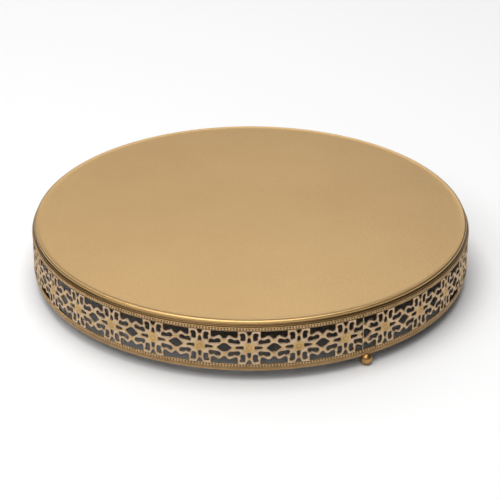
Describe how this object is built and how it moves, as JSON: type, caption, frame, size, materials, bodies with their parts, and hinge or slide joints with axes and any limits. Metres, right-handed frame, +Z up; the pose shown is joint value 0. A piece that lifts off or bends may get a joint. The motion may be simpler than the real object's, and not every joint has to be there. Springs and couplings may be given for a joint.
{
  "type": "cake stand",
  "caption": "Low round metal cake stand: flat disc with a rolled lip on a pierced lace band, with wire hoops and small ball feet.",
  "frame": {"origin": "on the stand's axis, on the table under the ball feet", "axes": "+Z up along the stand's axis, -Y towards the front, +X to the right seen from the front"},
  "size_m": [0.3626, 0.3604, 0.051],
  "materials": {
    "plate": "satin gold lacquer on pressed steel",
    "lace": "antique gold lacquer on die-stamped steel strip",
    "hoop": "dark antique gold lacquer on steel wire",
    "foot": "polished gold plating on a steel ball"
  },
  "bodies": {
    "root": {"top_plate": "plate", "upper_hoop": "hoop", "lace_band": "lace", "base_hoop": "hoop", "foot_front": "foot", "foot_left": "foot", "foot_back": "foot"}
  },
  "joints": []
}
